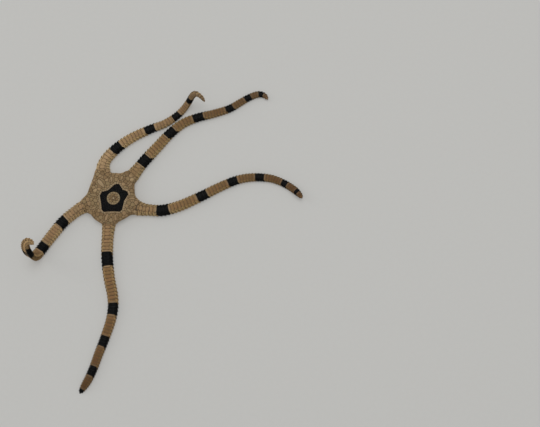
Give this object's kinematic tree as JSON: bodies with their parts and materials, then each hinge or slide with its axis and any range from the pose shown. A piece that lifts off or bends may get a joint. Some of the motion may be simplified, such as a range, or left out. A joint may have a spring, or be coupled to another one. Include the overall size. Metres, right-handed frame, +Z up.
{
  "type": "brittle star",
  "caption": "Banded serpent star, a brittle star with a plated disc and slender black-banded arms, lying flat with its arms bent and two arm ends lifted.",
  "frame": {"origin": "on the floor under the middle of the bounding box; the disc's centre is at x -27.72 mm, y 19.13 mm", "axes": "+Z up through the animal's back, +Y towards the top of the picture and along the longest extent, +X to the picture's right"},
  "size_m": [0.14, 0.1582, 0.0186],
  "materials": {
    "disc_plates": "satin",
    "arm_plates": "satin",
    "jaw_plates": "matte"
  },
  "bodies": {
    "root": {"disc": "disc_plates", "jaw_1": "jaw_plates", "jaw_2": "jaw_plates", "jaw_3": "jaw_plates", "jaw_4": "jaw_plates", "jaw_5": "jaw_plates", "arm_1_base": "arm_plates", "arm_1_middle": "arm_plates", "arm_1_outer": "arm_plates", "arm_1_tip": "arm_plates", "arm_2_base": "arm_plates", "arm_2_middle": "arm_plates", "arm_2_outer": "arm_plates", "arm_2_tip": "arm_plates", "arm_3_base": "arm_plates", "arm_3_middle": "arm_plates", "arm_3_outer": "arm_plates", "arm_3_tip": "arm_plates", "arm_4_base": "arm_plates", "arm_4_middle": "arm_plates", "arm_4_outer": "arm_plates", "arm_4_tip": "arm_plates", "arm_5_base": "arm_plates", "arm_5_middle": "arm_plates", "arm_5_outer": "arm_plates", "arm_5_tip": "arm_plates"}
  },
  "joints": []
}
